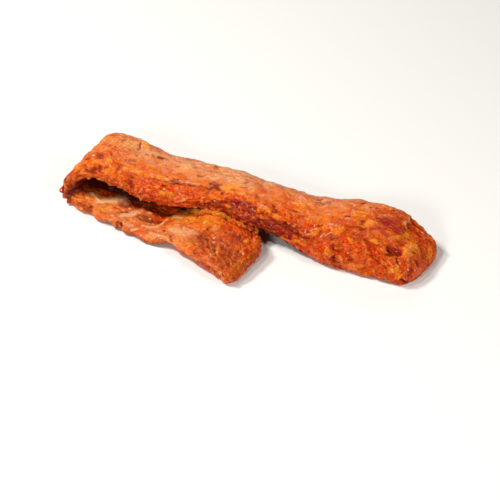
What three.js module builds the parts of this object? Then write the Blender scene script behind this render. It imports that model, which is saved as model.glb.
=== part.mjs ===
// A marinated rack of ribs: one long strip of meat on its rib bones, laid meat side up, with its left end
// folded under and brought back below as a tail that shows its rib side. Millimetres, +Z up, +X along the strip.
import * as THREE from "three";
import { mergeVertices } from "three/addons/utils/BufferGeometryUtils.js";

// ---- driving dimensions ----
const RIB_PITCH = 33; // from one rib to the next
const RIB_AT = 11; // distance of the first rib from the right end
const RIB_RELIEF = 1.2; // how far a rib stands out of the rib side
const CAP = 16; // length over which each end of the strip rounds off
const CAP_POWER = 0.5; // 1 is a half ellipse, less is squarer
const CONTACT_GAP = 0.8; // left between the upper run and the tail where one lies on the other
// The upper run lies on the tail at this height, comes down to the right of x at this slope, and meets the
// tail as far forward as lip; in front of that the tail may rise at the slope of the lip.
const SEAT = { height: 19, x: -20, fall: 0.2, lip: -9, rise: 0.7 };
const RUN_CUTS = 12; // cuts of the upper run before it starts to turn under
const TAIL_CUT = 15; // first cut of the tail

// ---- mesh density ----
const AROUND = 44;
const RINGS = 128;
const CAP_RINGS = 7;

// ---- the strip, cut by cut from its right end round the fold to the end of the tail ----
// near and far: the middle of the strip's two edges there; crown: how far its meat side bulges from the line
// between them; belly: how far its rib side does; hollow: share of the belly that is lost along its middle;
// box: 2 is an elliptic section, more is squarer.
const CUTS = [
  { near: [170, -3, 6], far: [173, 51, 7], crown: 6, belly: 9, hollow: 0, box: 3.2 },
  { near: [157, -8, 7], far: [161, 61, 8], crown: 13, belly: 12, hollow: 0, box: 3.2 },
  { near: [142, -10, 8], far: [145, 67, 10], crown: 19, belly: 13, hollow: 0, box: 3.2 },
  { near: [126, -10, 9], far: [129, 69, 12], crown: 24, belly: 14, hollow: 0, box: 3 },
  { near: [94, -12, 8], far: [95, 67, 12], crown: 28, belly: 13, hollow: 0.05, box: 2.8 },
  { near: [64, -9, 9], far: [62, 60, 14], crown: 24, belly: 13, hollow: 0.15, box: 2.6 },
  { near: [36, -6, 16], far: [34, 54, 17], crown: 20, belly: 11, hollow: 0.3, box: 2.5 },
  { near: [6, -8, 21], far: [4, 52, 20], crown: 19, belly: 10, hollow: 0.3, box: 2.5 },
  { near: [-26, -9, 25], far: [-28, 50, 25], crown: 17, belly: 9, hollow: 0.3, box: 2.5 },
  { near: [-60, -18, 25], far: [-62, 46, 28], crown: 14, belly: 9, hollow: 0.35, box: 2.5 },
  { near: [-96, -26, 25], far: [-97, 43, 30], crown: 12, belly: 8, hollow: 0.35, box: 2.6 },
  { near: [-128, -28, 29], far: [-129, 42, 37], crown: 10, belly: 8, hollow: 0.35, box: 2.8 },
  { near: [-154, -26, 31], far: [-149, 41, 41], crown: 9, belly: 8, hollow: 0.35, box: 3.2 },
  { near: [-168, -27, 24], far: [-158, 37, 38], crown: 8, belly: 10, hollow: 0.35, box: 3.8 },
  { near: [-174, -29, 12], far: [-162, 33, 22], crown: 8, belly: 10, hollow: 0.35, box: 3.8 },
  { near: [-167, -34, 4], far: [-153, 29, 9], crown: 8, belly: 8, hollow: 0.4, box: 3.4 },
  { near: [-143, -41, 5], far: [-133, 24, 7], crown: 6, belly: 6, hollow: 0.35, box: 2.8 },
  { near: [-112, -48, 5], far: [-99, 19, 7], crown: 6, belly: 5, hollow: 0.35, box: 2.6 },
  { near: [-74, -54, 5], far: [-61, 13, 8], crown: 6, belly: 6, hollow: 0.35, box: 2.6 },
  { near: [-35, -59, 7], far: [-24, 6, 8], crown: 8, belly: 11, hollow: 0.15, box: 3 },
  { near: [-4, -70, 8], far: [8, -2, 8], crown: 8, belly: 13, hollow: 0.1, box: 3.2 },
  { near: [26, -83, 5], far: [30, -22, 8], crown: 8, belly: 10, hollow: 0.1, box: 3.2 },
];
const edge = (place) => new THREE.CatmullRomCurve3(CUTS.map((cut) => new THREE.Vector3(...place(cut))));
const NEAR = edge((cut) => cut.near);
const FAR = edge((cut) => cut.far);
const MIDDLE = edge((cut) => cut.near.map((v, i) => (v + cut.far[i]) / 2));
const LENGTH = MIDDLE.getLength();
const measure = (name) => new THREE.SplineCurve(CUTS.map((cut, i) => new THREE.Vector2(i, cut[name])));
const CROWN = measure("crown");
const BELLY = measure("belly");
const HOLLOW = measure("hollow");
const BOX = measure("box");

// ---- relief ----
// Bumps and dents: s is the distance from the right end along the strip, turn the angle round its section (0 at
// the far edge, 90 on the meat side, 180 at the near edge, -90 on the rib side), along and spread their reach
// in millimetres and degrees, rise their height.
const BUMPS = [
  { s: 302, turn: 45, along: 8, spread: 14, rise: 2.4 }, // lump of fat on the far edge
  { s: 24, turn: 114, along: 5, spread: 20, rise: -2.6 }, // cleft in the meat near the right end
  { s: 16, turn: 90, along: 8, spread: 16, rise: 1.8 }, // fat beside the cleft
  { s: 85, turn: 176, along: 9, spread: 20, rise: 2.6 }, // knob low on the near side
  { s: 72, turn: 166, along: 5, spread: 20, rise: -2.2 }, // notch beside the knob
  { s: 58, turn: 140, along: 20, spread: 14, rise: 1.2 }, // shoulder of the thick end
  { s: 142, turn: 158, along: 22, spread: 18, rise: -2 }, // waist
  { s: 182, turn: 152, along: 14, spread: 14, rise: -1.6 },
  { s: 210, turn: 114, along: 9, spread: 10, rise: -1.4 },
  { s: 194, turn: 98, along: 14, spread: 16, rise: 1.2 },
  { s: 252, turn: 112, along: 34, spread: 7, rise: 1.3 }, // edge of the outer layer of meat
  { s: 252, turn: 126, along: 34, spread: 7, rise: -1.2 },
  { s: 266, turn: 154, along: 10, spread: 14, rise: 1.8 }, // ragged lip of the near edge
  { s: 228, turn: 160, along: 9, spread: 14, rise: 1.6 },
  { s: 318, turn: 110, along: 8, spread: 16, rise: 1.2 },
  { s: 292, turn: -166, along: 24, spread: 34, rise: -4 }, // lip of the near edge, drawn in beside the fold
  { s: 226, turn: -164, along: 8, spread: 30, rise: 2.2 },
  { s: 451, turn: -100, along: 9, spread: 26, rise: -1.4 }, // torn place between two ribs of the tail
  { s: 395, turn: 180, along: 4, spread: 30, rise: -2.4 }, // notches of the tail's near edge
  { s: 403, turn: 180, along: 6, spread: 30, rise: 1.6 },
  { s: 431, turn: 180, along: 4, spread: 30, rise: -2.2 },
  { s: 440, turn: 180, along: 6, spread: 30, rise: 1.4 },
  { s: 418, turn: 168, along: 6, spread: 30, rise: -3 },
  { s: 485, turn: 164, along: 10, spread: 36, rise: -8 }, // hollow in it where the tail thickens
  { s: 552, turn: 158, along: 6, spread: 30, rise: -3 },
  { s: 565, turn: 118, along: 6, spread: 34, rise: -4 }, // underside of the end, clear of the board
  { s: 503, turn: -68, along: 18, spread: 12, rise: 1.6 }, // ridge of fat on the thick end of the tail
  { s: 489, turn: -62, along: 13, spread: 20, rise: 6 }, // swells up against the upper run
  { s: 512, turn: -50, along: 14, spread: 18, rise: 3.4 },
  { s: 534, turn: -44, along: 13, spread: 18, rise: 4 },
  { s: 541, turn: -141, along: 5, spread: 12, rise: 1.8 },
  { s: 545, turn: -112, along: 5, spread: 10, rise: 1.4 },
  { s: 554, turn: -81, along: 5, spread: 10, rise: 1.6 },
  { s: 563, turn: -40, along: 5, spread: 16, rise: 1.8 },
  { s: 572, turn: -172, along: 5, spread: 22, rise: 6 }, // corner drawn out to a tip
  { s: 354, turn: 180, along: 6, spread: 20, rise: 4 }, // knob at the foot of the fold
];
// The outer layer of meat stops short of the right end and leaves a step on its far side.
const STEP = { s: 31, run: 5, turn: 70, spread: 34, drop: 2.4 };
// Unevenness all over: [size of the lumps across and up, their length along the strip, their height].
const UNEVEN = [
  { size: 15, length: 23, rise: 1.6 },
  { size: 8, length: 11, rise: 0.8 },
  { size: 4.5, length: 7, rise: 0.5 },
];

const bell = (v) => Math.exp(-v * v);
function turned(angle, turn) {
  const apart = THREE.MathUtils.radToDeg(angle) - turn;
  return apart - 360 * Math.round(apart / 360);
}
function relief(p, s, angle) {
  let rise = Math.max(0, -Math.sin(angle)) * RIB_RELIEF * Math.cos((2 * Math.PI * (s - RIB_AT)) / RIB_PITCH);
  for (const bump of BUMPS) {
    rise += bump.rise * bell((s - bump.s) / bump.along) * bell(turned(angle, bump.turn) / bump.spread);
  }
  const short = 1 - THREE.MathUtils.smoothstep(s, STEP.s - STEP.run / 2, STEP.s + STEP.run / 2);
  rise -= STEP.drop * short * bell(turned(angle, STEP.turn) / STEP.spread);
  UNEVEN.forEach(({ size, length, rise: height }, i) => {
    rise += height * noise(p.x / length, p.y / size, p.z / size + 7 - 4 * i);
  });
  return rise;
}

function lattice(i, j, k) {
  const v = Math.sin(i * 127.1 + j * 311.7 + k * 74.7) * 43758.5453;
  return 2 * (v - Math.floor(v)) - 1;
}
function noise(x, y, z) {
  const cell = [x, y, z].map(Math.floor);
  const ease = [x, y, z].map((v, i) => {
    const f = v - cell[i];
    return f * f * f * (f * (6 * f - 15) + 10);
  });
  let sum = 0;
  for (let corner = 0; corner < 8; corner++) {
    const step = [corner & 1, (corner >> 1) & 1, corner >> 2];
    const weight = step.reduce((w, on, i) => w * (on ? ease[i] : 1 - ease[i]), 1);
    sum += weight * lattice(cell[0] + step[0], cell[1] + step[1], cell[2] + step[2]);
  }
  return sum;
}

// ---- the solid ----
const signedPower = (v, p) => Math.sign(v) * Math.abs(v) ** p;

// One ring of the strip: its distance from the right end and how far its section is drawn in by the end caps.
function ringAt(ring) {
  const fromEnd = Math.min(ring, RINGS - ring);
  const body = LENGTH - 2 * CAP;
  let s = CAP + (body * (ring - CAP_RINGS)) / (RINGS - 2 * CAP_RINGS);
  let size = 1;
  if (fromEnd < CAP_RINGS) {
    const turn = (Math.PI / 2) * (fromEnd / CAP_RINGS);
    const inset = CAP * (1 - Math.cos(turn) ** CAP_POWER);
    s = ring < RINGS / 2 ? inset : LENGTH - inset;
    size = Math.sin(turn) ** CAP_POWER;
  }
  return { s, size };
}

// Keeps the upper run above the surface of contact, the tail below it, and both on the board.
function seat(p, cut) {
  const contact = SEAT.height - SEAT.fall * Math.max(0, p.x - SEAT.x);
  if (cut < RUN_CUTS) p.z = Math.max(p.z, contact + CONTACT_GAP / 2);
  if (cut > TAIL_CUT) p.z = Math.min(p.z, contact - CONTACT_GAP / 2 + SEAT.rise * Math.max(0, SEAT.lip - p.y));
  p.z = Math.max(p.z, 0);
}

function surfacePoint(ring, angle) {
  const { s, size } = ringAt(ring);
  const t = MIDDLE.getUtoTmapping(s / LENGTH);
  const near = NEAR.getPoint(t);
  const far = FAR.getPoint(t);
  const centre = near.clone().lerp(far, 0.5);
  const across = far.clone().sub(near).multiplyScalar(0.5);
  const meat = new THREE.Vector3().crossVectors(across, MIDDLE.getTangent(t)).normalize();
  const power = 2 / BOX.getPoint(t).y;
  const c = signedPower(Math.cos(angle), power);
  const up = signedPower(Math.sin(angle), power);
  const middle = 1 - c * c;
  const height = up > 0
    ? up * CROWN.getPoint(t).y
    : up * BELLY.getPoint(t).y * (1 - HOLLOW.getPoint(t).y * middle);
  const outward = across.clone().normalize().multiplyScalar(Math.cos(angle)).addScaledVector(meat, Math.sin(angle));
  const p = centre.clone().addScaledVector(across, c * size).addScaledVector(meat, height * size);
  p.addScaledVector(outward, relief(p, s, angle) * size);
  seat(p, t * (CUTS.length - 1));
  return p;
}

function rackGeometry() {
  const geometry = new THREE.SphereGeometry(1, AROUND, RINGS);
  geometry.deleteAttribute("normal");
  geometry.deleteAttribute("uv");
  const merged = mergeVertices(geometry);
  const place = merged.getAttribute("position");
  const unit = new THREE.Vector3();
  for (let i = 0; i < place.count; i++) {
    unit.fromBufferAttribute(place, i);
    const ring = Math.round((Math.acos(THREE.MathUtils.clamp(unit.y, -1, 1)) / Math.PI) * RINGS);
    const p = surfacePoint(ring, Math.atan2(unit.z, -unit.x));
    place.setXYZ(i, p.x, p.y, p.z);
  }
  merged.computeBoundingBox();
  const middle = merged.boundingBox.getCenter(new THREE.Vector3());
  merged.translate(-middle.x, -middle.y, 0);
  merged.computeVertexNormals();
  return merged;
}

const glazedMeat = new THREE.MeshStandardMaterial({ color: 0xb5481a, roughness: 0.42, metalness: 0 });
const rack = new THREE.Mesh(rackGeometry(), glazedMeat);
rack.name = "rack";

const part = new THREE.Group();
part.add(rack);
export default part;
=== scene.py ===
# A marinated rack of ribs on a pale floor. The solid is dressed with the same strip of meat at fine
# resolution, with the fibres, torn edges, pits and fat that the solid leaves out, and with loose crumbs.
import bmesh
import bpy
import numpy as np
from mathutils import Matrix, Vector


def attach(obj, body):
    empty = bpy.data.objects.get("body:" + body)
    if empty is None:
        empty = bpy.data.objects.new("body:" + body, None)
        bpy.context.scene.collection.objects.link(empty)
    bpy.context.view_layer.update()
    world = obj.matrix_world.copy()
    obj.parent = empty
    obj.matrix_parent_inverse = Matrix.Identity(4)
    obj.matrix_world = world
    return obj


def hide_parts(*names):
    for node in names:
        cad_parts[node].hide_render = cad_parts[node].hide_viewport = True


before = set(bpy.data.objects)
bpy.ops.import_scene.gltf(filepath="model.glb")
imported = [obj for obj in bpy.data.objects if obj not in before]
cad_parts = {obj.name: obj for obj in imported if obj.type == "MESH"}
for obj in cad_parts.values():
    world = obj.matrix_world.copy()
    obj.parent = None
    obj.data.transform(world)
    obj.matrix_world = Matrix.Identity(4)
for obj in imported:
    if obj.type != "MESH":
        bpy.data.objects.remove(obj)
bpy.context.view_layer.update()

MM = 0.001

# ---- the strip, as in the solid's source: millimetres, from the middle of the board that it lies on ----
RIB_PITCH = 33.0  # from one rib to the next
RIB_AT = 11.0  # distance of the first rib from the right end
RIB_RELIEF = 1.2  # how far a rib stands out of the rib side
CAP = 16.0  # length over which each end of the strip rounds off
CAP_POWER = 0.5  # 1 is a half ellipse, less is squarer
CONTACT_GAP = 0.8  # left between the upper run and the tail where one lies on the other
# The upper run lies on the tail at this height, comes down to the right of x at this slope, and meets the
# tail as far forward as lip. In front of that the tail may rise at the slope of the lip.
SEAT = {"height": 19.0, "x": -20.0, "fall": 0.2, "lip": -9.0, "rise": 0.7}
RUN_CUTS = 12  # cuts of the upper run before it starts to turn under
TAIL_CUT = 15  # first cut of the tail
SOLID_AROUND = 44
SOLID_RINGS = 128
SOLID_CAP_RINGS = 7
# The middle of the near and of the far edge at each cut, how far the meat side and the rib side bulge from
# the line between them, the share of the bulge that the rib side loses in its middle, and how square it is.
CUTS = [
    ((170, -3, 6), (173, 51, 7), 6, 9, 0, 3.2),
    ((157, -8, 7), (161, 61, 8), 13, 12, 0, 3.2),
    ((142, -10, 8), (145, 67, 10), 19, 13, 0, 3.2),
    ((126, -10, 9), (129, 69, 12), 24, 14, 0, 3),
    ((94, -12, 8), (95, 67, 12), 28, 13, 0.05, 2.8),
    ((64, -9, 9), (62, 60, 14), 24, 13, 0.15, 2.6),
    ((36, -6, 16), (34, 54, 17), 20, 11, 0.3, 2.5),
    ((6, -8, 21), (4, 52, 20), 19, 10, 0.3, 2.5),
    ((-26, -9, 25), (-28, 50, 25), 17, 9, 0.3, 2.5),
    ((-60, -18, 25), (-62, 46, 28), 14, 9, 0.35, 2.5),
    ((-96, -26, 25), (-97, 43, 30), 12, 8, 0.35, 2.6),
    ((-128, -28, 29), (-129, 42, 37), 10, 8, 0.35, 2.8),
    ((-154, -26, 31), (-149, 41, 41), 9, 8, 0.35, 3.2),
    ((-168, -27, 24), (-158, 37, 38), 8, 10, 0.35, 3.8),
    ((-174, -29, 12), (-162, 33, 22), 8, 10, 0.35, 3.8),
    ((-167, -34, 4), (-153, 29, 9), 8, 8, 0.4, 3.4),
    ((-143, -41, 5), (-133, 24, 7), 6, 6, 0.35, 2.8),
    ((-112, -48, 5), (-99, 19, 7), 6, 5, 0.35, 2.6),
    ((-74, -54, 5), (-61, 13, 8), 6, 6, 0.35, 2.6),
    ((-35, -59, 7), (-24, 6, 8), 8, 11, 0.15, 3),
    ((-4, -70, 8), (8, -2, 8), 8, 13, 0.1, 3.2),
    ((26, -83, 5), (30, -22, 8), 8, 10, 0.1, 3.2),
]
# Bumps and dents: distance from the right end, turn round the section, reach along, reach round, rise.
BUMPS = [
    (302, 45, 8, 14, 2.4),
    (24, 114, 5, 20, -2.6),
    (16, 90, 8, 16, 1.8),
    (85, 176, 9, 20, 2.6),
    (72, 166, 5, 20, -2.2),
    (58, 140, 20, 14, 1.2),
    (142, 158, 22, 18, -2),
    (182, 152, 14, 14, -1.6),
    (210, 114, 9, 10, -1.4),
    (194, 98, 14, 16, 1.2),
    (252, 112, 34, 7, 1.3),
    (252, 126, 34, 7, -1.2),
    (266, 154, 10, 14, 1.8),
    (228, 160, 9, 14, 1.6),
    (318, 110, 8, 16, 1.2),
    (292, -166, 24, 34, -4),
    (226, -164, 8, 30, 2.2),
    (451, -100, 9, 26, -1.4),
    (395, 180, 4, 30, -2.4),
    (403, 180, 6, 30, 1.6),
    (431, 180, 4, 30, -2.2),
    (440, 180, 6, 30, 1.4),
    (418, 168, 6, 30, -3),
    (485, 164, 10, 36, -8),
    (552, 158, 6, 30, -3),
    (565, 118, 6, 34, -4),
    (503, -68, 18, 12, 1.6),
    (489, -62, 13, 20, 6),
    (512, -50, 14, 18, 3.4),
    (534, -44, 13, 18, 4),
    (541, -141, 5, 12, 1.8),
    (545, -112, 5, 10, 1.4),
    (554, -81, 5, 10, 1.6),
    (563, -40, 5, 16, 1.8),
    (572, -172, 5, 22, 6),
    (354, 180, 6, 20, 4),
]
# The outer layer of meat stops short of the right end and leaves a step on its far side.
STEP = {"s": 31, "run": 5, "turn": 70, "spread": 34, "drop": 2.4}
# Unevenness all over: size of the lumps across and up, their length along the strip, their height.
UNEVEN = [(15, 23, 1.6), (8, 11, 0.8), (4.5, 7, 0.5)]

FOLD = 355  # where along the strip its rib side begins to lie upwards

# ---- fine mesh ----
FINE_AROUND = 152
FINE_RINGS = 640
FINE_CAP_RINGS = 38
END_REACH = 30.0  # half the strip's width at its ends
SHOWN_SIDE = 0.5  # how much closer together the points are in the middle of the side that lies upwards
TURN_STEPS = 720  # steps round a section when its length is measured


def centripetal(points):
    """A centripetal Catmull-Rom curve through evenly numbered points, as a function of 0 to 1."""
    p = np.array(points, float)
    last = len(p) - 1

    def at(t):
        place = np.clip(np.asarray(t, float), 0, 1) * last
        i = np.minimum(np.floor(place).astype(int), last - 1)
        w = (place - i)[:, None]
        a, b = p[i], p[i + 1]
        before = np.where((i > 0)[:, None], p[np.maximum(i - 1, 0)], 2 * p[0] - p[1])
        after = np.where((i + 2 <= last)[:, None], p[np.minimum(i + 2, last)], 2 * p[last] - p[last - 1])
        d0, d1, d2 = (
            ((v - u) ** 2).sum(1)[:, None] ** 0.25 for u, v in ((before, a), (a, b), (b, after))
        )
        start = ((a - before) / d0 - (b - before) / (d0 + d1) + (b - a) / d1) * d1
        end = ((b - a) / d1 - (after - a) / (d1 + d2) + (after - b) / d2) * d1
        return a + start * w + (3 * (b - a) - 2 * start - end) * w**2 + (2 * (a - b) + start + end) * w**3

    return at


def smooth_track(values):
    """A uniform Catmull-Rom curve through evenly numbered values."""
    v = np.array(values, float)
    last = len(v) - 1

    def at(t):
        place = np.clip(t, 0, 1) * last
        i = np.minimum(np.floor(place).astype(int), last)
        w = place - i
        a, b = v[i], v[np.minimum(i + 1, last)]
        before, after = v[np.maximum(i - 1, 0)], v[np.minimum(i + 2, last)]
        start, end = (b - before) / 2, (after - a) / 2
        return a + start * w + (3 * (b - a) - 2 * start - end) * w**2 + (2 * (a - b) + start + end) * w**3

    return at


NEAR = centripetal([cut[0] for cut in CUTS])
FAR = centripetal([cut[1] for cut in CUTS])
MIDDLE = centripetal([(np.array(cut[0]) + np.array(cut[1])) / 2 for cut in CUTS])
CROWN, BELLY, HOLLOW, BOX = (smooth_track([cut[k] for cut in CUTS]) for k in (2, 3, 4, 5))
# How far it is along the strip's middle to evenly spaced steps of its curve.
STEPS = np.linspace(0, 1, 201)
TRAVEL = np.concatenate([[0], np.cumsum(np.linalg.norm(np.diff(MIDDLE(STEPS), axis=0), axis=1))])
LENGTH = TRAVEL[-1]


def smoothstep(v, low, high):
    """0 up to low, 1 from high on, with a smooth flank."""
    f = np.clip((v - low) / (high - low), 0, 1)
    return f * f * (3 - 2 * f)


def between(v, start, full, fades, end):
    """1 from full to fades and 0 before start and after end, with smooth flanks."""
    return smoothstep(v, start, full) * (1 - smoothstep(v, fades, end))


def bell(v):
    """1 at zero, falling off to 0 on both sides."""
    return np.exp(-v * v)


def unit(v):
    """Vectors as long as 1."""
    return v / np.maximum(np.linalg.norm(v, axis=-1, keepdims=True), 1e-12)


def lattice(i, j, k):
    """A scattered number between -1 and 1 for each set of whole numbers."""
    v = np.sin(i * 127.1 + j * 311.7 + k * 74.7) * 43758.5453
    return 2 * (v - np.floor(v)) - 1


def cell_corners(x, y, z):
    """For each corner of the unit cell round each place: its step from the cell, the corner, the place's
    way from it and the corner's weight."""
    cells = [np.floor(v) for v in (x, y, z)]
    parts = [v - c for v, c in zip((x, y, z), cells)]
    ease = [f * f * f * (f * (6 * f - 15) + 10) for f in parts]
    for corner in range(8):
        step = (corner & 1, corner >> 1 & 1, corner >> 2)
        weight = 1
        for on, e in zip(step, ease):
            weight = weight * (e if on else 1 - e)
        yield [c + d for c, d in zip(cells, step)], [f - d for f, d in zip(parts, step)], weight


def value_noise(x, y, z):
    """Smooth noise between -1 and 1, the same as in the solid's source."""
    return sum(weight * lattice(*corner) for corner, _, weight in cell_corners(x, y, z))


def gradient_noise(x, y, z):
    """Perlin noise, about -1 to 1."""
    total = 0
    for (i, j, k), way, weight in cell_corners(x, y, z):
        slope = [lattice(i + shift, j, k) for shift in (0, 57, 113)]
        total = total + weight * sum(g * d for g, d in zip(slope, way))
    return total * 1.6


def turned(turn, at):
    """The shorter way round from one turn to the others, in degrees."""
    apart = turn - at
    return apart - 360 * np.round(apart / 360)


def coarse_relief(p, s, turn):
    """The relief that the solid has too."""
    ribs = np.maximum(0, -np.sin(np.radians(turn)))
    rise = ribs * RIB_RELIEF * np.cos(2 * np.pi * (s - RIB_AT) / RIB_PITCH)
    for at, side, along, spread, height in BUMPS:
        rise = rise + height * bell((s - at) / along) * bell(turned(turn, side) / spread)
    short = 1 - smoothstep(s, STEP["s"] - STEP["run"] / 2, STEP["s"] + STEP["run"] / 2)
    rise = rise - STEP["drop"] * short * bell(turned(turn, STEP["turn"]) / STEP["spread"])
    for i, (size, length, height) in enumerate(UNEVEN):
        rise = rise + height * value_noise(p[:, 0] / length, p[:, 1] / size, p[:, 2] / size + 7 - 4 * i)
    return rise


def seated(p, cut):
    """Keeps the upper run above the surface of contact, the tail below it, and both on the board."""
    contact = SEAT["height"] - SEAT["fall"] * np.maximum(0, p[:, 0] - SEAT["x"])
    free = SEAT["rise"] * np.maximum(0, SEAT["lip"] - p[:, 1])
    z = np.where(cut < RUN_CUTS, np.maximum(p[:, 2], contact + CONTACT_GAP / 2), p[:, 2])
    z = np.where(cut > TAIL_CUT, np.minimum(z, contact - CONTACT_GAP / 2 + free), z)
    return np.column_stack([p[:, 0], p[:, 1], np.maximum(z, 0)])


def strip(s, size, turn, relief=True):
    """The strip's surface where each ring (s, size) meets each of its turns, ring by ring, with places on
    the strip: s along it, w across it from its middle, h off the line between its edges, up to the meat."""
    t = np.interp(s / LENGTH, TRAVEL / LENGTH, STEPS)
    near, far = NEAR(t), FAR(t)
    middle, across = (near + far) / 2, (far - near) / 2
    forward = unit(MIDDLE(np.minimum(t + 1e-4, 1)) - MIDDLE(np.maximum(t - 1e-4, 0)))
    meat = unit(np.cross(across, forward))
    cosine, sine = np.cos(np.radians(turn)), np.sin(np.radians(turn))
    power = 2 / BOX(t)[:, None]
    c = np.sign(cosine) * np.abs(cosine) ** power
    up = np.sign(sine) * np.abs(sine) ** power
    belly = BELLY(t)[:, None] * (1 - HOLLOW(t)[:, None] * (1 - c * c))
    height = np.where(up > 0, up * CROWN(t)[:, None], up * belly)
    p = (
        middle[:, None]
        + across[:, None] * (c * size[:, None])[..., None]
        + meat[:, None] * (height * size[:, None])[..., None]
    )
    outward = unit(across)[:, None] * cosine[..., None] + meat[:, None] * sine[..., None]
    flat = {
        "s": np.broadcast_to(s[:, None], turn.shape).ravel(),
        "turn": turn.ravel(),
        "size": np.broadcast_to(size[:, None], turn.shape).ravel(),
        "cut": np.broadcast_to((t * (len(CUTS) - 1))[:, None], turn.shape).ravel(),
        "w": (c * size[:, None] * np.linalg.norm(across, axis=1)[:, None]).ravel(),
        "h": (height * size[:, None]).ravel(),
    }
    p, outward = p.reshape(-1, 3), outward.reshape(-1, 3)
    if relief:
        p = p + outward * (coarse_relief(p, flat["s"], flat["turn"]) * flat["size"])[:, None]
    return p, flat


def ring_places(rings, cap_rings):
    """(s, size) of each ring but the two poles, as in the solid's source."""
    ring = np.arange(1, rings)
    from_end = np.minimum(ring, rings - ring)
    s = CAP + (LENGTH - 2 * CAP) * (ring - cap_rings) / (rings - 2 * cap_rings)
    angle = np.pi / 2 * np.minimum(from_end / cap_rings, 1)
    inset = CAP * (1 - np.cos(angle) ** CAP_POWER)
    capped = from_end < cap_rings
    s = np.where(capped, np.where(ring < rings / 2, inset, LENGTH - inset), s)
    return s, np.where(capped, np.sin(angle) ** CAP_POWER, 1.0)


def solid_middle():
    """The middle of the solid's box, which the solid's source puts at the origin."""
    s, size = ring_places(SOLID_RINGS, SOLID_CAP_RINGS)
    turn = 180 - np.arange(SOLID_AROUND) * 360 / SOLID_AROUND
    p, flat = strip(s, size, np.broadcast_to(turn, (len(s), SOLID_AROUND)))
    p = seated(p, flat["cut"])
    return (p.min(0) + p.max(0))[:2] / 2


# ---- the fine grid ----
def fine_rings():
    """(s, size) of each ring of the fine mesh, evenly spaced over the blunt ends too."""
    angle = np.linspace(0, np.pi / 2, 400)
    inset, size = CAP * (1 - np.cos(angle) ** CAP_POWER), np.sin(angle) ** CAP_POWER
    run = np.concatenate([[0], np.cumsum(np.hypot(np.diff(inset), END_REACH * np.diff(size)))])
    places = run[-1] * (np.arange(FINE_CAP_RINGS) + 0.5) / FINE_CAP_RINGS
    head, head_size = np.interp(places, run, inset), np.interp(places, run, size)
    body = np.linspace(CAP, LENGTH - CAP, FINE_RINGS - 2 * FINE_CAP_RINGS)
    s = np.concatenate([head, body, LENGTH - head[::-1]])
    return s, np.concatenate([head_size, np.ones(len(body)), head_size[::-1]])


def fine_turns(s):
    """Turns of the points of each ring, closer together on the side that lies upwards, and the way round in
    millimetres from the middle of the meat side and from the middle of the rib side."""
    turn = np.linspace(-180, 180, TURN_STEPS + 1)
    p, _ = strip(s, np.ones(len(s)), np.broadcast_to(turn, (len(s), len(turn))), relief=False)
    p = p.reshape(len(s), len(turn), 3)
    run = np.zeros((len(s), len(turn)))
    run[:, 1:] = np.cumsum(np.linalg.norm(np.diff(p, axis=1), axis=2), axis=1)
    upward = np.where(s < 350, 1, -1) * smoothstep(np.abs(s - 350), 0, 40)
    closeness = 1 + SHOWN_SIDE * upward[:, None] * np.sin(np.radians(turn))[None]
    weighted = np.zeros_like(run)
    weighted[:, 1:] = np.cumsum(np.diff(run, axis=1) * (closeness[:, 1:] + closeness[:, :-1]) / 2, axis=1)
    step = np.arange(FINE_AROUND) / FINE_AROUND
    turns = np.array([np.interp(step, line / line[-1], turn) for line in weighted])
    at = np.array([np.interp(line, turn, way) for line, way in zip(turns, run)])
    total = run[:, -1:]
    from_meat = at - run[:, [TURN_STEPS * 3 // 4]]
    from_ribs = at - run[:, [TURN_STEPS // 4]]
    return turns, from_meat + total * (from_meat < -total / 2), from_ribs - total * (from_ribs > total / 2)


# ---- noises of the fine relief ----
def cells_noise(x, y, z):
    """Distances to the nearest and the second of one scattered point a cell, and the nearest's number."""
    at = [np.floor(v) for v in (x, y, z)]
    nearest, second = np.full(np.shape(x), 9.0), np.full(np.shape(x), 9.0)
    own = np.zeros(np.shape(x))
    for neighbour in np.ndindex(3, 3, 3):
        c = [a + d - 1 for a, d in zip(at, neighbour)]
        spot = [cc + 0.5 + 0.42 * lattice(c[0] + n, c[1], c[2]) for n, cc in zip((11, 29, 71), c)]
        far = sum((v - p) ** 2 for v, p in zip((x, y, z), spot))
        second = np.where(far < nearest, nearest, np.minimum(second, far))
        own = np.where(far < nearest, lattice(c[0] + 5, c[1], c[2]), own)
        nearest = np.minimum(nearest, far)
    return np.sqrt(nearest), np.sqrt(second), own


def strands(s, u, lean, length, width, seed):
    """Rounded strands, 0 to about 1, with sharp creases between them. They run along the strip, turned by
    lean degrees towards the near edge."""
    c, d = np.cos(np.radians(lean)), np.sin(np.radians(lean))
    along, beside = s * c + u * d, u * c - s * d
    still = 0 * s + seed
    bends = 3.0 * gradient_noise(along / 26, beside / 17, still)
    beside = beside + bends + gradient_noise(along / 9, beside / 6, still)
    wide = np.abs(gradient_noise(along / length, beside / width, still + 0.5))
    narrow = np.abs(gradient_noise(along / (0.6 * length), beside / (0.45 * width), still + 3.5))
    return 1.5 * wide + 0.7 * narrow


# ---- fine relief and the fields that colour it, in places on the strip ----
# Edges of layers that end in a step down: start and end along the strip, the way round from the middle of
# the meat side at evenly spaced places, drop, how far the drop takes to even out.
LAYER_EDGES = [
    (190, 304, (20, 14, 14, 15, 14, 12, 14, 17), 1.5, 20),
    (150, 192, (34, 28, 24, 20), 0.8, 14),
]
# The cut that ends the top layer near the right end: the way round from the middle of the meat side, and
# how far along the strip the cut is there.
END_CUT = ((-40, -29, -18, -6, 5, 12, 24), (37, 36, 34, 33, 36, 39, 46))
END_DROP = 2.2
# The corner between the top and the near side of the thick end of the tail.
TAIL_CORNER = ((476, 492, 504, 521, 532, 548, 563), (-27, -32, -35, -39, -38, -34, -27))

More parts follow.
